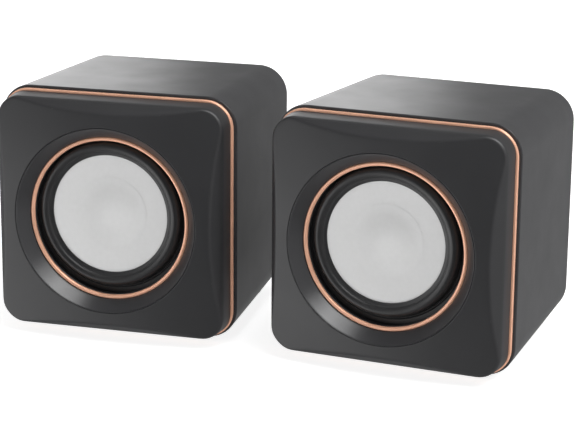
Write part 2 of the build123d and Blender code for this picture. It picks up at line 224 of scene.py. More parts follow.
finishes = {
    "cabinet_plastic": mouldedPlastic(
        "cabinetPlastic", (0.036, 0.036, 0.038), 0.34, 3200.0, 0.05, specular=0.3),
    "bezel_plastic": mouldedPlastic(
        "bezelPlastic", (0.022, 0.022, 0.0235), 0.42, 3800.0, 0.05, specular=0.45),
    "dish_plastic": mouldedPlastic("dishPlastic", (0.026, 0.026, 0.028), 0.3, 3800.0, 0.03),
    "copper_trim": copperPlating("copperPlating", (0.86, 0.47, 0.32), 0.36),
    "black_foam": softRubber("blackFoam", (0.006, 0.006, 0.006), 0.8),
    "surround_rubber": softRubber("surroundRubber", (0.018, 0.018, 0.019), 0.36),
    "cone_grey": pressedPulp("coneGrey", (0.60, 0.60, 0.60)),
    "former_film": mouldedPlastic("formerFilm", (0.45, 0.24, 0.08), 0.35, 1500.0, 0.05),
    "coil_wire": bandedMaterial("coilWire", (0.35, 0.12, 0.05), (0.75, 0.32, 0.16), 900.0, 0.9, 0.35),
    "spider_cloth": bandedMaterial("spiderCloth", (0.40, 0.26, 0.09), (0.58, 0.40, 0.16), 500.0, 0.0, 0.8),
    "black_steel": mouldedPlastic("blackSteel", (0.015, 0.015, 0.015), 0.4, 900.0, 0.1),
    "zinc_steel": platedSteel("zincSteel", (0.62, 0.62, 0.63), 0.35),
    "ferrite": mouldedPlastic("ferrite", (0.03, 0.03, 0.032), 0.6, 700.0, 0.25),
    "phenolic_board": mouldedPlastic("phenolicBoard", (0.20, 0.09, 0.03), 0.6, 900.0, 0.1),
    "tinned_brass": platedSteel("tinnedBrass", (0.70, 0.66, 0.55), 0.3),
    "foot_rubber": softRubber("footRubber", (0.014, 0.014, 0.014), 0.7, 1800.0),
    "circuit_board": circuitBoard("circuitBoard"),
    "chip_plastic": mouldedPlastic("chipPlastic", (0.012, 0.012, 0.012), 0.55, 1500.0, 0.1),
    "capacitor_sleeve": mouldedPlastic("capacitorSleeve", (0.02, 0.025, 0.07), 0.25, 800.0, 0.02),
    "header_plastic": mouldedPlastic("headerPlastic", (0.68, 0.66, 0.58), 0.5, 900.0, 0.05),
    "wire_insulation": mouldedPlastic("wireInsulation", (0.35, 0.02, 0.015), 0.4, 900.0, 0.05),
    "pot_metal": platedSteel("potMetal", (0.55, 0.55, 0.56), 0.3),
    "knob_plastic": mouldedPlastic("knobPlastic", (0.018, 0.018, 0.019), 0.45, 2500.0, 0.08),
}
for entry in frame["record"]["subparts"]:
    slots = frame["nodes"][entry["node"]].data.materials
    slots.clear()
    slots.append(finishes[entry["material_slot"]])
print("materials made:", len(finishes))


# Making meshes

def addPiece(name, mesh, side, slotName, body, nodes=()):
    mesh = mesh.copy()
    mesh.name = name
    mesh.transform(placeOf[side])
    mesh.materials.clear()
    mesh.materials.append(finishes[slotName])
    piece = bpy.data.objects.new(name, mesh)
    scene.collection.objects.link(piece)
    if body:
        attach(piece, body)
    if nodes:
        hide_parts(*nodes)
    return piece


def loopFaces(rings, count, closed):
    # quads between rings of points that each hold count points
    last = rings if closed else rings - 1
    faces = []
    for i in range(last):
        a, b = i * count, ((i + 1) % rings) * count
        faces += [(a + j, a + (j + 1) % count, b + (j + 1) % count, b + j) for j in range(count)]
    return faces


def outwardFaces(mesh):
    # recalculated once the doubles at poles are merged
    shape = bmesh.new()
    shape.from_mesh(mesh)
    bmesh.ops.remove_doubles(shape, verts=shape.verts, dist=1e-4)
    bmesh.ops.recalc_face_normals(shape, faces=shape.faces)
    shape.to_mesh(mesh)
    shape.free()
    return mesh


def turnedMesh(name, profile, steps=160, closed=True, centre=(0.0, 0.0), sharpAngle=35.0):
    # profile is (radius, y) round a closed section, or from pole to pole when not closed
    angles = np.linspace(0, 2 * math.pi, steps, endpoint=False)
    points = [(centre[0] + r * math.cos(a), y, centre[1] + r * math.sin(a))
              for r, y in profile for a in angles]
    mesh = bpy.data.meshes.new(name)
    mesh.from_pydata(points, [], loopFaces(len(profile), steps, closed))
    outwardFaces(mesh)
    mesh.shade_smooth()
    mesh.set_sharp_from_angle(angle=math.radians(sharpAngle))
    return mesh


def arcPoints(centre, radius, start, end, steps):
    # degrees, with y counted as the second axis of the section
    angles = np.radians(np.linspace(start, end, steps + 1))
    return [(centre[0] + radius * math.cos(a), centre[1] + radius * math.sin(a)) for a in angles]


def roundedSquare(halfWidth, corner, cornerSteps=12, straightSteps=1):
    # points round the outline, in x and z, the same count for any size
    points = []
    for quarter in range(4):
        turn = quarter * math.pi / 2
        inner = halfWidth - corner
        arc = [(inner + corner * math.cos(a), inner + corner * math.sin(a))
               for a in np.linspace(0, math.pi / 2, cornerSteps + 1)]
        straight = [(inner - 2 * inner * k / straightSteps, halfWidth) for k in range(1, straightSteps)]
        for x, z in arc + straight:
            points.append((x * math.cos(turn) - z * math.sin(turn), x * math.sin(turn) + z * math.cos(turn)))
    return np.array(points)


# Bezel

bezelSettings = {
    "halfWidth": 40.0, "corner": 8.0, "wallBack": 7.4, "flare": 0.4,
    "domeRadius": 167.0, "domeRise": 8.5, "facetAngle": 53.0,
    "hole": 32.05, "thickness": 2.2, "collarWall": 1.5, "collarBack": 2.0,
    "spigotHalf": 39.4, "spigotWall": 1.8, "spigotBack": 12.0,
    "creaseRound": 0.55, "rimRound": 0.9, "cornerSteps": 12, "straightSteps": 26,
}


def smoothMax(a, b, width):
    overlap = np.maximum(width - np.abs(a - b), 0) / width
    return np.maximum(a, b) + overlap * overlap * width / 4


def bezelField(x, y, z, inset):
    # below zero inside the face: dome, four facets and side wall, each moved in by inset
    s = bezelSettings
    slope = math.radians(s["facetAngle"])
    dome = np.sqrt(x * x + z * z + (y - s["domeRadius"] + s["domeRise"]) ** 2) - s["domeRadius"] + inset
    reach = np.maximum(np.abs(x), np.abs(z)) - s["halfWidth"]
    facet = reach * math.sin(slope) - y * math.cos(slope) + inset
    half = s["halfWidth"] + s["flare"] * np.maximum(y, 0) / s["wallBack"] - inset
    corner = s["corner"] - 0.7 * inset
    qx, qz = np.abs(x) - half + corner, np.abs(z) - half + corner
    wall = np.hypot(np.maximum(qx, 0), np.maximum(qz, 0)) + np.minimum(np.maximum(qx, qz), 0) - corner
    face = smoothMax(dome, facet, s["creaseRound"])
    return smoothMax(face, wall, s["rimRound"])


def bezelSurface(directions, guess, inset):
    # moves each guessed (radius, y) along its ray from a point inside, on to the rounded surface
    eye = 16.0
    ray = np.stack([guess[..., 0], guess[..., 1] - eye], -1)
    low, high = np.full(len(guess), 0.4), np.full(len(guess), 1.6)
    for _ in range(40):
        middle = (low + high) / 2
        radius, y = ray[..., 0] * middle, eye + ray[..., 1] * middle
        inside = bezelField(radius * directions[:, 0], y, radius * directions[:, 1], inset) < 0
        low, high = np.where(inside, middle, low), np.where(inside, high, middle)
    return np.stack([ray[..., 0] * low, eye + ray[..., 1] * low], -1)


def domeY(radius, inset=0.0):
    s = bezelSettings
    r = s["domeRadius"] - inset
    return s["domeRadius"] - s["domeRise"] - np.sqrt(r * r - radius * radius)


def makeBezelMesh():
    s = bezelSettings
    outline = roundedSquare(s["halfWidth"], s["corner"], s["cornerSteps"], s["straightSteps"])
    edge = np.hypot(outline[:, 0], outline[:, 1])
    directions = outline / edge[:, None]
    slope = math.tan(math.radians(s["facetAngle"]))

    # where dome and facet cross on each ray, found by halving
    low, high = np.full(len(edge), s["hole"]), edge.copy()
    lean = np.max(np.abs(directions), 1)
    for _ in range(40):
        middle = (low + high) / 2
        domeNearer = domeY(middle) > (middle * lean - s["halfWidth"]) * slope
        low, high = np.where(domeNearer, middle, low), np.where(domeNearer, high, middle)
    crease = np.minimum(low, edge - 1.4)
    creaseY = domeY(crease)
    rimY = np.where(domeY(edge) > 0, domeY(edge), 0)
    holeY = domeY(np.full(len(edge), s["hole"]))
    wallRadius = edge * (1 + s["flare"] / s["halfWidth"])

    def station(radius, y):
        return np.stack([radius, y], -1)

    front = []
    for share in (0.0, 0.012, 0.03, 0.1, 0.25, 0.4, 0.55, 0.7, 0.82, 0.9, 0.95):
        radius = s["hole"] + 0.25 + (crease - s["hole"] - 0.25) * share
        front.append(station(radius, domeY(radius)))
    for share in (-0.5, -0.3, -0.15, 0.0, 0.15, 0.3, 0.5):
        along = crease + share
        facetY = creaseY + (rimY - creaseY) * np.clip(share / (edge - crease), 0, 1)
        y = np.where(share < 0, domeY(along), facetY)
        front.append(station(along, y))
    for share in (0.3, 0.5, 0.7, 0.85):
        front.append(station(crease + (edge - crease) * share, creaseY + (rimY - creaseY) * share))
    for share in (0.93, 0.97, 1.0):
        front.append(station(crease + (edge - crease) * share, creaseY + (rimY - creaseY) * share))
    for depth in (0.12, 0.25, 0.4, 0.6, 0.9, 1.4, 3.0, 5.0, 7.0, s["wallBack"]):
        y = rimY + (s["wallBack"] - rimY) * depth / s["wallBack"]
        front.append(station(edge + (wallRadius - edge) * y / s["wallBack"], y))
    surface = [bezelSurface(directions, ring, 0.0) for ring in front]
    surface[-1][:, 1] = s["wallBack"]

    # collar down the hole, with its lip eased into the dome
    lipY = surface[0][:, 1]
    collar = [station(0 * edge + s["hole"], 0 * edge + s["collarBack"]),
              station(0 * edge + s["hole"], lipY + 0.45),
              station(0 * edge + s["hole"] + 0.03, lipY + 0.2),
              station(0 * edge + s["hole"] + 0.1, lipY + 0.06)]

    def square(halfWidth, corner, y):
        ring = roundedSquare(halfWidth, corner, s["cornerSteps"], s["straightSteps"])
        return np.stack([ring[:, 0], 0 * edge + y, ring[:, 1]], -1)

    rings = [np.stack([r[:, 0] * directions[:, 0], r[:, 1], r[:, 0] * directions[:, 1]], -1)
             for r in collar + surface]
    spigotCorner = s["corner"]
    rings += [square(s["spigotHalf"], spigotCorner, s["wallBack"]),
              square(s["spigotHalf"], spigotCorner, s["spigotBack"] - 0.3),
              square(s["spigotHalf"] - 0.3, spigotCorner - 0.3, s["spigotBack"])]
    innerHalf = s["spigotHalf"] - s["spigotWall"]
    rings += [square(innerHalf, spigotCorner - s["spigotWall"], s["spigotBack"]),
              square(innerHalf, spigotCorner - s["spigotWall"], s["wallBack"] - 1)]

    # inside of the shell, moved in by the wall's thickness
    t = s["thickness"]
    innerEdge = edge - 2.4
    inside = []
    for share in (1.0, 0.9, 0.7, 0.5, 0.3, 0.15, 0.0):
        radius = s["hole"] + s["collarWall"] + (innerEdge - s["hole"] - s["collarWall"]) * share
        y = np.maximum(domeY(radius, t), (radius * lean - s["halfWidth"] + t / 0.8) * slope)
        inside.append(bezelSurface(directions, station(radius, np.minimum(y, 4.0)), t))
    inside[-1][:, 0] = s["hole"] + s["collarWall"]
    rings += [np.stack([r[:, 0] * directions[:, 0], r[:, 1], r[:, 0] * directions[:, 1]], -1) for r in inside]
    collarOut = s["hole"] + s["collarWall"]
    rings.append(np.stack([
        collarOut * directions[:, 0], 0 * edge + s["collarBack"], collarOut * directions[:, 1]], -1))
    points = np.concatenate(rings)
    mesh = bpy.data.meshes.new("bezel")
    mesh.from_pydata([tuple(p) for p in points], [], loopFaces(len(rings), len(edge), True))
    outwardFaces(mesh)
    mesh.shade_smooth()
    mesh.set_sharp_from_angle(angle=math.radians(48))
    return mesh


bezelMesh = makeBezelMesh()
for side in placeOf:
    addPiece(f"{side}.bezel", bezelMesh, side, "bezel_plastic", bodyOf[side], [f"{side}_bezel"])
print("bezels made, faces each:", len(bezelMesh.polygons))


# Geometry nodes that repeat a piece or follow a path

def growMesh(name, makeTree, sizes, startMesh=None):
    # runs a node tree once on a throwaway object and keeps the plain mesh
    tree = bpy.data.node_groups.new(name, "GeometryNodeTree")
    tree.interface.new_socket("Geometry", in_out="INPUT", socket_type="NodeSocketGeometry")
    tree.interface.new_socket("Geometry", in_out="OUTPUT", socket_type="NodeSocketGeometry")
    kinds = {int: "NodeSocketInt", float: "NodeSocketFloat", bpy.types.Material: "NodeSocketMaterial",
             bpy.types.Object: "NodeSocketObject"}
    for key, value in sizes.items():
        tree.interface.new_socket(key, in_out="INPUT", socket_type=kinds[type(value)])
    given = tree.nodes.new("NodeGroupInput").outputs
    result = makeTree(tree, given)
    painted = addNode(tree, "GeometryNodeSetMaterial", {"Geometry": result, "Material": given["Finish"]})
    last = tree.nodes.new("NodeGroupOutput")
    tree.links.new(painted.outputs[0], last.inputs["Geometry"])
    holder = bpy.data.objects.new(name, startMesh or bpy.data.meshes.new(name))
    scene.collection.objects.link(holder)
    modifier = holder.modifiers.new(name, "NODES")
    modifier.node_group = tree
    for item in tree.interface.items_tree:
        if item.in_out == "INPUT" and item.name in sizes:
            modifier[item.identifier] = sizes[item.name]
    ready = bpy.context.evaluated_depsgraph_get()
    mesh = bpy.data.meshes.new_from_object(holder.evaluated_get(ready), depsgraph=ready)
    bpy.data.objects.remove(holder)
    return mesh


def bandTree(tree, given):
    # a filleted square path swept with a filleted rectangle, turned upright and pushed back
    path = addNode(tree, "GeometryNodeCurvePrimitiveQuadrilateral", {
        "Width": given["Path"], "Height": given["Path"]})
    path = addNode(tree, "GeometryNodeFilletCurve", {
        "Curve": path.outputs[0], "Count": given["Corner steps"], "Radius": given["Corner"]}, mode="POLY")
    section = addNode(tree, "GeometryNodeCurvePrimitiveQuadrilateral", {
        "Width": given["Wall"], "Height": given["Depth"]})
    section = addNode(tree, "GeometryNodeFilletCurve", {
        "Curve": section.outputs[0], "Count": given["Edge steps"], "Radius": given["Edge"]}, mode="POLY")
    swept = addNode(tree, "GeometryNodeCurveToMesh", {
        "Curve": path.outputs[0], "Profile Curve": section.outputs[0]})
    return standUp(tree, swept.outputs[0], given["Middle"])


def ringTree(tree, given):
    # a bead swept round a circle
    path = addNode(tree, "GeometryNodeCurvePrimitiveCircle", {
        "Resolution": given["Steps"], "Radius": given["Path"]})
    section = addNode(tree, "GeometryNodeCurvePrimitiveQuadrilateral", {
        "Width": given["Wall"], "Height": given["Depth"]})
    section = addNode(tree, "GeometryNodeFilletCurve", {
        "Curve": section.outputs[0], "Count": given["Edge steps"], "Radius": given["Edge"]}, mode="POLY")
    swept = addNode(tree, "GeometryNodeCurveToMesh", {
        "Curve": path.outputs[0], "Profile Curve": section.outputs[0]})
    return standUp(tree, swept.outputs[0], given["Middle"])


def standUp(tree, geometry, middle):
    place = addNode(tree, "ShaderNodeCombineXYZ", {"Y": middle})
    turned = addNode(tree, "GeometryNodeTransform", {
        "Geometry": geometry, "Translation": place.outputs[0], "Rotation": (math.pi / 2, 0, 0)})
    return addNode(tree, "GeometryNodeRealizeInstances", {"Geometry": turned.outputs[0]}).outputs[0]


def repeatTree(tree, given):
    # one copy of the piece on every point, turned by the point's own attribute
    piece = addNode(tree, "GeometryNodeObjectInfo", {"Object": given["Piece"]})
    turn = addNode(tree, "GeometryNodeInputNamedAttribute", {"Name": "turn"}, data_type="FLOAT_VECTOR")
    spots = addNode(tree, "GeometryNodeMeshToPoints", {"Mesh": given["Geometry"]})
    copies = addNode(tree, "GeometryNodeInstanceOnPoints", {
        "Points": spots.outputs[0], "Instance": piece.outputs["Geometry"],
        "Rotation": turn.outputs["Attribute"]})
    return addNode(tree, "GeometryNodeRealizeInstances", {"Geometry": copies.outputs[0]}).outputs[0]


def repeatPiece(name, mesh, spots, turns, finish):
    points = bpy.data.meshes.new(name + "Spots")
    points.from_pydata(spots, [], [])
    turn = points.attributes.new("turn", "FLOAT_VECTOR", "POINT")
    turn.data.foreach_set("vector", np.array(turns, dtype=float).ravel())
    pattern = bpy.data.objects.new(name + "Pattern", mesh)
    scene.collection.objects.link(pattern)
    grown = growMesh(name, repeatTree, {"Piece": pattern, "Finish": finish}, points)
    bpy.data.objects.remove(pattern)
    return sharpen(grown)


def sharpen(mesh, angle=35.0):
    mesh.shade_smooth()
    mesh.set_sharp_from_angle(angle=math.radians(angle))
    return mesh


# Trim band and the gasket line behind it

trimSettings = {"outerHalf": 41.2, "innerHalf": 39.45, "corner": 8.7, "front": 7.4, "back": 8.9, "edge": 0.55}
gasketSettings = {
    "outerHalf": 40.6, "innerHalf": 39.45, "corner": 8.4, "front": 8.9, "back": 9.4, "edge": 0.1,
}


def makeBandMesh(name, s, finish):
    sizes = {
        "Path": s["outerHalf"] + s["innerHalf"], "Corner": s["corner"],
        "Wall": s["outerHalf"] - s["innerHalf"],
        "Depth": s["back"] - s["front"], "Edge": s["edge"], "Middle": (s["front"] + s["back"]) / 2,
        "Corner steps": 14, "Edge steps": 5, "Finish": finish,
    }
    return outwardFaces(growMesh(name, bandTree, sizes))


trimMesh = sharpen(makeBandMesh("trimBand", trimSettings, finishes["copper_trim"]), 50)
gasketMesh = sharpen(makeBandMesh("cabinetGasket", gasketSettings, finishes["black_foam"]))
for side in placeOf:
    addPiece(f"{side}.trimBand", trimMesh, side, "copper_trim", bodyOf[side], [f"{side}_trim_band"])
    gasketNodes = [f"{side}_cabinet_gasket"]
    addPiece(f"{side}.cabinetGasket", gasketMesh, side, "black_foam", bodyOf[side], gasketNodes)
print("trim bands and gaskets made")


# Dish and driver ring

dishSettings = {
    "rim": 31.97, "rimY": -5.35, "throat": 28.3, "throatY": -0.95, "seat": 0.45, "recess": 26.8, "back": 2.5,
    "grooveIn": 28.9, "grooveOut": 30.45, "grooveY": 0.6,
}
ringSettings = {"inner": 26.85, "outer": 28.25, "front": -1.05, "back": 0.45, "edge": 0.62}


def makeDishMesh():
    s = dishSettings
    profile = [
        (s["rim"], s["rimY"] + 0.28), (s["rim"] - 0.06, s["rimY"] + 0.12), (s["rim"] - 0.2, s["rimY"] + 0.1),
        (s["rim"] - 0.42, s["rimY"] + 0.32), (s["rim"] - 0.6, s["rimY"] + 0.54),
        ((s["rim"] + s["throat"]) / 2, (s["rimY"] + s["throatY"]) / 2),
        (s["throat"] + 0.35, s["throatY"] - 0.44), (s["throat"] + 0.1, s["throatY"] - 0.1),
        (s["throat"], s["throatY"] + 0.15), (s["throat"], s["seat"]), (s["recess"] + 0.15, s["seat"]),
        (s["recess"], s["seat"] + 0.15), (s["recess"], s["back"] - 0.1), (s["recess"] + 0.1, s["back"]),
        (s["grooveIn"], s["back"]), (s["grooveIn"], s["grooveY"]), (s["grooveOut"], s["grooveY"]),
        (s["grooveOut"], s["back"]), (s["rim"] - 0.2, s["back"]), (s["rim"], s["back"] - 0.2),
    ]
    return turnedMesh("dish", profile, 192)


ringSizes = {
    "Path": (ringSettings["inner"] + ringSettings["outer"]) / 2,
    "Wall": ringSettings["outer"] - ringSettings["inner"],
    "Depth": ringSettings["back"] - ringSettings["front"], "Edge": ringSettings["edge"],
    "Middle": (ringSettings["front"] + ringSettings["back"]) / 2, "Steps": 192, "Edge steps": 6,
    "Finish": finishes["copper_trim"],
}
dishMesh = makeDishMesh()
ringMesh = sharpen(outwardFaces(growMesh("driverRing", ringTree, ringSizes)), 60)
for side in placeOf:
    addPiece(f"{side}.dish", dishMesh, side, "dish_plastic", bodyOf[side], [f"{side}_dish"])
    addPiece(f"{side}.driverRing", ringMesh, side, "copper_trim", bodyOf[side], [f"{side}_driver_ring"])
print("dishes and driver rings made")


# Moving parts of the driver, and the roll that carries them

driverSettings = {
    "lift": driverLift, "coneRadius": 21.0, "coneFront": 0.6, "coneNeck": 2.15, "formerOuter": 10.25,
    "coneWall": 0.45,
    "capRadius": 12.6, "capRise": 2.3, "capWall": 0.35,
}
rollSettings = {
    "lip": 20.35, "lipY": 0.2, "lipBand": 21.75, "crest": 23.3, "crestY": -0.9, "foot": 25.2, "footY": 1.9,
    "wall": 0.45, "flange": 28.5, "flangeFront": 2.8, "flangeBack": 3.3, "ridges": (25.65, 26.3),
    "ridgeHeight": 0.28,
}


def conePlane(radius):
    s = driverSettings
    slope = (s["coneNeck"] - s["coneFront"]) / (s["coneRadius"] - s["formerOuter"])
    return s["coneFront"] + (s["coneRadius"] - radius) * slope


def makeConeMesh():
    s = driverSettings
    neck, rim = s["formerOuter"], s["coneRadius"]
    front = [(r, conePlane(r) + 0.10 * math.sin(math.pi * (r - neck) / (rim - neck)))
             for r in np.linspace(neck, rim, 14)]
    back = [(r, y + s["coneWall"]) for r, y in reversed(front)]
    return turnedMesh("cone", front + back, 160, centre=(0, s["lift"]))


def capProfile(steps):
    # bell-shaped cap whose foot leaves the cone at the cone's own slope
    s = driverSettings
    slope = (s["coneNeck"] - s["coneFront"]) / (s["coneRadius"] - s["formerOuter"])
    sag = slope * s["capRadius"] / 2
    rise = s["capRise"] + sag
    points = []
    for share in np.linspace(0, 1, steps):
        bell = 0.5 + 0.5 * math.cos(math.pi * share)
        y = conePlane(s["capRadius"]) - 0.02 + sag * (1 - share * share) - rise * bell
        points.append((share * s["capRadius"], y))
    return points


def makeCapMesh():
    s = driverSettings
    front = capProfile(30)
    back = [(r, y + s["capWall"] * min(1.0, 0.05 + (s["capRadius"] - r) / 3.0)) for r, y in reversed(front)]
    return turnedMesh("dustCap", front + back, 160, closed=False, centre=(0, s["lift"]), sharpAngle=60)


def makeSurroundMesh():
    s = rollSettings
    lip, lipBand, lipY = s["lip"], s["lipBand"], s["lipY"]
    front = [(lip, lipY + 0.2), (lip + 0.08, lipY + 0.05), (lip + 0.3, lipY - 0.02),
             (lip + 0.8, lipY - 0.12), (lipBand - 0.15, lipY - 0.25), (lipBand, lipY - 0.2)]
    crestWidth = s["crest"] - s["lipBand"]
    for a in np.linspace(160, 90, 9):
        front.append((s["crest"] + crestWidth * math.cos(math.radians(a)),
                      s["crestY"] + 0.85 - 0.85 * math.sin(math.radians(a))))
    footWidth, footDrop = s["foot"] - s["crest"], s["footY"] - s["crestY"]
    for a in np.linspace(80, 0, 10):
        front.append((s["crest"] + footWidth * math.cos(math.radians(a)),
                      s["crestY"] + footDrop * (1 - math.sin(math.radians(a)))))
    front.append((s["foot"] + 0.05, s["flangeFront"] - 0.15))
    for ridge in s["ridges"]:
        for offset in (-0.28, -0.14, 0.0, 0.14, 0.28):
            bulge = s["ridgeHeight"] * (1 - (offset / 0.28) ** 2)
            front.append((ridge + offset, s["flangeFront"] - bulge))
    front += [(s["flange"], s["flangeFront"]), (s["flange"], s["flangeBack"])]
    inner = s["foot"] - s["wall"]
    back = [(inner, s["flangeBack"]), (inner, s["footY"])]
    for a in np.linspace(15, 165, 14):
        back.append(((inner + 20.9) / 2 + (inner - 20.9) / 2 * math.cos(math.radians(a)),
                     1.25 - 1.7 * math.sin(math.radians(a))))
    back += [(20.9, driverSettings["coneFront"]), (s["lip"], driverSettings["coneFront"])]
    return turnedMesh("surround", front + back, 192, centre=(0, driverSettings["lift"]))


def makeSpiderMesh(folds=7, outer=20.4, flat=3.0, rise=0.7, cloth=0.3, seat=7.7):
    # corrugated cloth disc, its folds as smooth waves
    inner = driverSettings["formerOuter"] + 0.03
    end = outer - flat
    radii = np.linspace(inner, end, folds * 6 + 1)
    front = [(r, seat - rise / 2 * (1 - math.cos(math.pi * folds * (r - inner) / (end - inner))))
             for r in radii]
    front.append((outer, front[-1][1]))
    back = [(r, y + cloth) for r, y in reversed(front)]
    return turnedMesh("spider", front + back, 128, centre=(0, driverSettings["lift"]))


def bendWithCone(piece, side, freeFrom, fixedFrom):
    # the inner edge goes with the cone and the outer edge stays, whatever the direction across
    forward = Vector(next(j for j in frame["joints"] if j["name"] == f"{side}_cone_travel")["axis"])
    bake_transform(piece, bodyOf[side], coneBodyOf[side], start=tuple(-forward), end=tuple(forward))
    hub = placeOf[side] @ Vector((0, 0, driverSettings["lift"]))
    inner, outer = freeFrom * millimetre, fixedFrom * millimetre
    weights = []
    for vertex in piece.data.vertices:
        away = vertex.co - hub
        radius = (away - forward * away.dot(forward)).length
        share = min(1.0, max(0.0, (outer - radius) / (outer - inner)))
        weights.append(share * share * (3 - 2 * share))
    blendWeight = piece.data.attributes["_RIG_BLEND"]
    blendWeight.data.foreach_set("value", weights)


coneMesh, capMesh = makeConeMesh(), makeCapMesh()
surroundMesh, spiderMesh = makeSurroundMesh(), makeSpiderMesh()
for side in placeOf:
    addPiece(f"{side}.cone", coneMesh, side, "cone_grey", coneBodyOf[side], [f"{side}_cone"])
    addPiece(f"{side}.dustCap", capMesh, side, "cone_grey", coneBodyOf[side], [f"{side}_dust_cap"])
    surround = addPiece(f"{side}.surround", surroundMesh, side, "surround_rubber", None, [f"{side}_surround"])
    bendWithCone(surround, side, 20.9, 25.2)
    spider = addPiece(f"{side}.spider", spiderMesh, side, "spider_cloth", None, [f"{side}_spider"])
    bendWithCone(spider, side, 10.4, 17.4)
print("driver parts made")


# Cabinet

cabinetSettings = {
    "front": 9.4, "back": 79.5, "halfFront": 42.0, "halfBack": 40.0, "corner": 10.4, "wall": 2.0,
    "backWall": 2.2,
    "backRound": 2.5, "frontRound": 0.5, "post": 33.0, "tube": 4.0, "bore": 3.0, "shank": 1.6,
    "seatFront": 15.0, "seatBack": 17.0, "inletHole": 4.0, "inletZ": -28.0, "potHole": 3.5, "potZ": 14.0,
    "cornerSteps": 14,
}


def cabinetHalf(y):
    s = cabinetSettings
    return s["halfFront"] + (s["halfBack"] - s["halfFront"]) * (y - s["front"]) / (s["back"] - s["front"])


def makeShellMesh():
    s = cabinetSettings
    rings = []

    def addRing(inset, y, cornerInset=None):
        corner = s["corner"] - (inset if cornerInset is None else cornerInset)
        shape = roundedSquare(cabinetHalf(y) - inset, corner, s["cornerSteps"], 2)
        rings.append([(x, y, z) for x, z in shape])

    innerBack = s["back"] - s["backWall"]
    addRing(s["wall"], innerBack)
    addRing(s["wall"], s["front"] + 0.05)
    addRing(s["wall"] - 0.05, s["front"])
    for a in np.linspace(0, math.pi / 2, 5):
        addRing(s["frontRound"] * (1 - math.sin(a)), s["front"] + s["frontRound"] * (1 - math.cos(a)))
    addRing(0, s["front"] + s["frontRound"] + 0.35)
    addRing(0, 30)
    addRing(0, 55)
    addRing(0, s["back"] - s["backRound"] - 0.4)
    for a in np.linspace(0, math.pi / 2, 8):
        addRing(s["backRound"] * (1 - math.cos(a)), s["back"] - s["backRound"] * (1 - math.sin(a)))
    addRing(s["backRound"] + 0.4, s["back"])
    count = len(rings[0])
    points = [p for ring in rings for p in ring]
    faces = loopFaces(len(rings), count, False)
    faces.append(tuple(range(count)))
    faces.append(tuple(range((len(rings) - 1) * count, len(rings) * count)))
    mesh = bpy.data.meshes.new("shell")
    mesh.from_pydata(points, [], faces)
    return outwardFaces(mesh)


def combine(mesh, tools, operation):
    # one exact boolean for all the tools together
    base = bpy.data.objects.new("base", mesh)
    scene.collection.objects.link(base)
    holders = []
    for tool in tools:
        holder = bpy.data.objects.new("tool", tool)
        scene.collection.objects.link(holder)
        modifier = base.modifiers.new("join", "BOOLEAN")
        modifier.object, modifier.operation, modifier.solver = holder, operation, "EXACT"
        holders.append(holder)
    ready = bpy.context.evaluated_depsgraph_get()
    result = bpy.data.meshes.new_from_object(base.evaluated_get(ready), depsgraph=ready)
    for holder in holders + [base]:
        bpy.data.objects.remove(holder)
    return result


def peg(x, z, radius, front, back, lip=0.0, steps=40):
    # solid pin along the depth, with an optional wider mouth at its back
    profile = [(0, front), (radius, front)]
    if lip:
        profile += [(radius, back - 1.4 - lip), (radius + lip, back - 1.4), (radius + lip, back)]
    else:
        profile.append((radius, back))
    return turnedMesh("peg", profile + [(0, back)], steps, closed=False, centre=(x, z))


def makeCabinetMesh(inlets, powered):
    s = cabinetSettings
    corners = [(sx * s["post"], sz * s["post"]) for sx in (-1, 1) for sz in (-1, 1)]
    innerBack = s["back"] - s["backWall"]
    added = [peg(x, z, s["tube"], s["seatFront"], innerBack + 0.7) for x, z in corners]
    removed = [peg(x, z, s["bore"], s["seatBack"], s["back"] + 1.2, lip=0.35) for x, z in corners]
    removed += [peg(x, z, s["shank"], s["seatFront"] - 1, s["seatBack"] + 1) for x, z in corners]
    removed += [peg(x, s["inletZ"], s["inletHole"], innerBack - 3, s["back"] + 3) for x in inlets]
    if powered:
        removed.append(peg(0, s["potZ"], s["potHole"], innerBack - 3, s["back"] + 3))
    mesh = combine(combine(makeShellMesh(), added, "UNION"), removed, "DIFFERENCE")
    return sharpen(mesh, 32)


inletsOf = {"left": (0.0,), "right": (-12.0, 12.0)}
for side in placeOf:
    cabinetMesh = makeCabinetMesh(inletsOf[side], side == "right")
    addPiece(f"{side}.cabinet", cabinetMesh, side, "cabinet_plastic", bodyOf[side], [f"{side}_cabinet"])
print("cabinets made, faces:", len(cabinetMesh.polygons))


# Feet and cable grommets

footSettings = {"radius": 5.0, "floor": -43.8, "x": 28.0, "y": (21.0, 68.0), "height": 3.2, "edge": 0.7}
grommetSettings = {
    "bore": 2.1, "collar": 5.4, "neck": 4.0, "front": 76.1, "seat": 77.3, "wallBack": 79.5, "back": 81.1,
}


def makeFootMesh():
    # rubber pad with a rounded foot and a shallow dish in its middle, drawn from its axis
    s = footSettings
    profile = [(0, 0.35), (2.6, 0.3), (3.2, 0.12), (3.6, 0.0), (s["radius"] - s["edge"], 0.0)]
    profile += [(r, y) for r, y in arcPoints((s["radius"] - s["edge"], s["edge"]), s["edge"], -75, 0, 5)]
    profile += [(s["radius"], 1.4), (s["radius"] + 0.0, s["height"]), (0, s["height"])]
    mesh = turnedMesh("foot", profile, 56, closed=False)
    mesh.transform(Matrix.Rotation(math.pi / 2, 4, "X"))
    return mesh


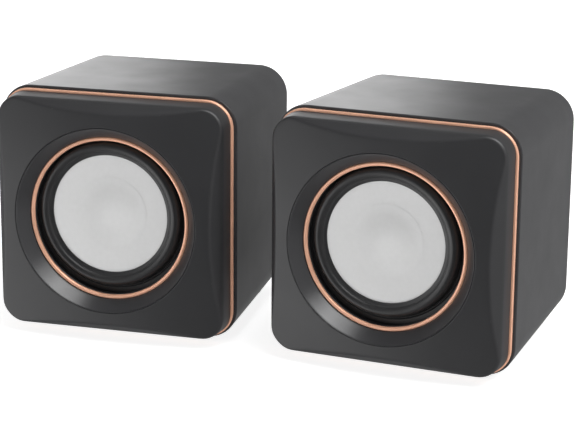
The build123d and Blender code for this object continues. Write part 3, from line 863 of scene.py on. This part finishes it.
def makeGrommetMesh():
    s = grommetSettings
    profile = [
        (s["bore"], s["front"] + 0.2), (s["bore"] + 0.2, s["front"]),
        (5.0, s["front"]), (5.2, s["front"] + 0.2),
        (5.2, s["seat"]), (s["neck"], s["seat"]), (s["neck"], s["wallBack"]), (s["collar"], s["wallBack"]),
        (s["collar"], s["back"] - 0.6), (s["collar"] - 0.18, s["back"] - 0.18),
        (s["collar"] - 0.6, s["back"]),
        (3.7, s["back"]), (3.5, s["back"] - 0.3), (3.1, s["back"] - 0.3), (2.9, s["back"]),
        (s["bore"] + 0.25, s["back"]), (s["bore"], s["back"] - 0.25),
    ]
    return turnedMesh("grommet", profile, 48)


footSpots = [(sx * footSettings["x"], y, footSettings["floor"]) for sx in (-1, 1) for y in footSettings["y"]]
grommetSpin = {"left": [0.0], "right": [0.0, 0.4]}
for side in placeOf:
    feetMesh = repeatPiece("feet", makeFootMesh(), footSpots, [(0, 0, 0)] * 4, finishes["foot_rubber"])
    addPiece(f"{side}.feet", feetMesh, side, "foot_rubber", bodyOf[side], [f"{side}_feet"])
    spots = [(x, 0, cabinetSettings["inletZ"]) for x in inletsOf[side]]
    turns = [(0, spin, 0) for spin in grommetSpin[side]]
    grommets = repeatPiece("grommets", makeGrommetMesh(), spots, turns, finishes["foot_rubber"])
    addPiece(f"{side}.cableGrommet", grommets, side, "foot_rubber", bodyOf[side], [f"{side}_cable_grommet"])
print("feet and grommets made")


# Volume knob

knobSettings = {
    "radius": 7.05, "ribReach": 7.5, "front": 80.2, "back": 88.4, "edge": 0.8, "recess": 6.0,
    "recessBack": 82.6,
    "shaftHole": 3.02, "shaftEnd": 86.45, "ribs": 24, "ribWidth": 1.25, "z": 14.0,
}


def makeKnobMesh():
    s = knobSettings
    profile = [(0, s["shaftEnd"]), (s["shaftHole"], s["shaftEnd"]), (s["shaftHole"], s["recessBack"]),
               (s["recess"], s["recessBack"]), (s["recess"], s["front"]), (s["radius"] - 0.2, s["front"]),
               (s["radius"], s["front"] + 0.2)]
    profile += arcPoints((s["radius"] - s["edge"], s["back"] - s["edge"]), s["edge"], 0, 90, 6)
    profile += [(4.9, s["back"]), (4.7, s["back"] - 0.12), (3.0, s["back"] - 0.3), (0, s["back"] - 0.35)]
    return turnedMesh("knob", profile, 96, closed=False, centre=(0, s["z"]))


def makeRibMesh():
    # one rib, lying along the depth at the right of the knob
    s = knobSettings
    section = [(s["radius"] - 0.3, -s["ribWidth"] / 2)]
    section += [(s["ribReach"] - 0.45 + 0.45 * math.cos(a), s["ribWidth"] / 2 * math.sin(a))
                for a in np.linspace(-math.pi / 2, math.pi / 2, 7)]
    section.append((s["radius"] - 0.3, s["ribWidth"] / 2))
    depths = [(s["front"], 0.0), (s["back"] - 1.1, 0.0), (s["back"] - 0.5, 0.25), (s["back"] - 0.25, 0.6)]
    points = [(x - drop if k not in (0, len(section) - 1) else x, y, z)
              for y, drop in depths for k, (x, z) in enumerate(section)]
    count = len(section)
    faces = loopFaces(len(depths), count, False)
    faces += [tuple(range(count)), tuple(range((len(depths) - 1) * count, len(depths) * count))]
    mesh = bpy.data.meshes.new("rib")
    mesh.from_pydata(points, [], faces)
    return outwardFaces(mesh)


ribTurns = [(0, 2 * math.pi * k / knobSettings["ribs"], 0) for k in range(knobSettings["ribs"])]
ribSpots = [(0, 0, knobSettings["z"])] * knobSettings["ribs"]
knobFinish = finishes["knob_plastic"]
ribMesh = repeatPiece("knobRibs", makeRibMesh(), ribSpots, ribTurns, knobFinish)
addPiece("volumeKnob", makeKnobMesh(), "right", "knob_plastic", "volume_knob", ["right_volume_knob"])
addPiece("volumeKnob.ribs", ribMesh, "right", "knob_plastic", "volume_knob")
print("volume knob made")


# Camera, light and floor

cameraSettings = {
    "place": (0.2277, -0.64753, 0.22697), "turn": 19.305, "tilt": -15.305, "roll": 0.489,
    "lens": 2040.5 / 575 * 36, "sensor": 36.0,
}


def makeCamera():
    s = cameraSettings
    camera = bpy.data.objects.new("camera", bpy.data.cameras.new("camera"))
    scene.collection.objects.link(camera)
    camera.data.lens, camera.data.sensor_width = s["lens"], s["sensor"]
    camera.data.clip_start, camera.data.clip_end = 0.01, 50
    turn = Matrix.Rotation(math.radians(s["turn"]), 4, "Z")
    tilt = Matrix.Rotation(math.radians(90 + s["tilt"]), 4, "X")
    roll = Matrix.Rotation(math.radians(s["roll"]), 4, "Z")
    camera.matrix_world = Matrix.Translation(s["place"]) @ turn @ tilt @ roll
    scene.camera = camera


def addSoftbox(name, place, target, width, height, power):
    light = bpy.data.lights.new(name, "AREA")
    light.shape = "RECTANGLE"
    light.size, light.size_y, light.energy = width, height, power
    softbox = bpy.data.objects.new(name, light)
    scene.collection.objects.link(softbox)
    aim = (Vector(target) - Vector(place)).to_track_quat("-Z", "Y")
    softbox.matrix_world = Matrix.Translation(place) @ aim.to_matrix().to_4x4()
    softbox.visible_camera = False
    return softbox


floorSettings = {"tone": 0.55, "glow": 0.85, "reach": 6.0}


def makeFloor():
    s = floorSettings
    material, tree, shader, place = startMaterial("paleFloor")
    shader.inputs["Base Color"].default_value = (s["tone"], s["tone"], s["tone"], 1)
    shader.inputs["Roughness"].default_value = 0.9
    shader.inputs["Specular IOR Level"].default_value = 0.1
    shader.inputs["Emission Color"].default_value = (1, 1, 1, 1)
    shader.inputs["Emission Strength"].default_value = s["glow"]
    mesh = bpy.data.meshes.new("floor")
    reach = s["reach"]
    corners = [(-reach, -reach, 0), (reach, -reach, 0), (reach, reach, 0), (-reach, reach, 0)]
    mesh.from_pydata(corners, [], [(0, 1, 2, 3)])
    mesh.materials.append(material)
    floor = bpy.data.objects.new("floor", mesh)
    scene.collection.objects.link(floor)
    floor.visible_glossy = False


# The room: an even grey with soft brighter and darker patches, each (direction, full and zero angle, change).
roomSettings = {
    "base": 0.29,
    "patches": [
        ((-0.78, -0.52, -0.36), 14, 42, 1.75),
        ((0.16, -0.95, -0.2), 12, 46, -0.31),
        ((0.35, -0.15, 0.92), 9, 21, 7.5),
        ((0.32, 0.91, -0.26), 12, 40, 0.08),
        ((0.96, -0.15, 0.05), 12, 34, 0.45),
    ],
}
# Softboxes: place, aim, width, height, radiance. None is in the camera's sight.
softboxSettings = {
    "keyRight": ((0.75, -0.12, 0.95), (0.0, 0.0, 0.05), 1.0, 0.55, 4.7),
}
# One card behind each speaker shades its roof from left to right, its edge leaning with the reflected rays.
roofCardSettings = {
    "behind": 0.29, "aside": -0.089, "above": 0.012, "size": 0.16, "lean": 51.0, "radiance": 2.15,
    "lights": ("cabinet", "trimBand", "bezel"),
}


def addRoofCard(side):
    s = roofCardSettings
    low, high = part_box(f"{side}_cabinet")
    roof = Vector(((low.x + high.x) / 2, (low.y + high.y) / 2, high.z))
    sight = roof - scene.camera.location
    sight.z = -sight.z  # the ray that the roof sends on
    place = roof + sight * (s["behind"] / sight.y) + Vector((s["aside"], 0, s["above"]))
    card = addSoftbox(f"roofCard.{side}", place, roof, s["size"], s["size"],
                      s["radiance"] * math.pi * s["size"] ** 2)
    card.matrix_world = card.matrix_world @ Matrix.Rotation(math.radians(s["lean"]), 4, "Z")
    only = bpy.data.collections.new(f"roof.{side}")
    for piece in s["lights"]:
        only.objects.link(bpy.data.objects[f"{side}.{piece}"])
    card.light_linking.receiver_collection = only


def makeRoom():
    world = bpy.data.worlds.new("room")
    scene.world = world
    world.use_nodes = True
    # found by the reflected rays alone, so it also shows below the floor
    world.cycles.sampling_method = "NONE"
    tree = world.node_tree
    look = addNode(tree, "ShaderNodeTexCoord").outputs["Generated"]
    total = addNode(tree, "ShaderNodeValue")
    total.outputs[0].default_value = roomSettings["base"]
    total = total.outputs[0]
    for direction, full, zero, change in roomSettings["patches"]:
        aim = Vector(direction).normalized()
        facing = addNode(tree, "ShaderNodeVectorMath", {0: look, 1: aim}, operation="DOT_PRODUCT")
        patch = addNode(tree, "ShaderNodeMapRange", {
            "Value": facing.outputs["Value"], "From Min": math.cos(math.radians(zero)),
            "From Max": math.cos(math.radians(full)), "To Min": 0.0, "To Max": change},
            interpolation_type="SMOOTHSTEP")
        inputs = {0: total, 1: patch.outputs["Result"]}
        total = addNode(tree, "ShaderNodeMath", inputs, operation="ADD").outputs[0]
    background = tree.nodes["Background"]
    background.inputs["Color"].default_value = (1, 1, 1, 1)
    tree.links.new(total, background.inputs["Strength"])
    for name, (place, aim, width, height, radiance) in softboxSettings.items():
        addSoftbox(name, place, aim, width, height, radiance * math.pi * width * height)
    for side in placeOf:
        addRoofCard(side)
    scene.view_settings.view_transform = "Standard"
    scene.view_settings.look = "None"


makeCamera()
makeFloor()
makeRoom()
print("camera, floor and lights set")
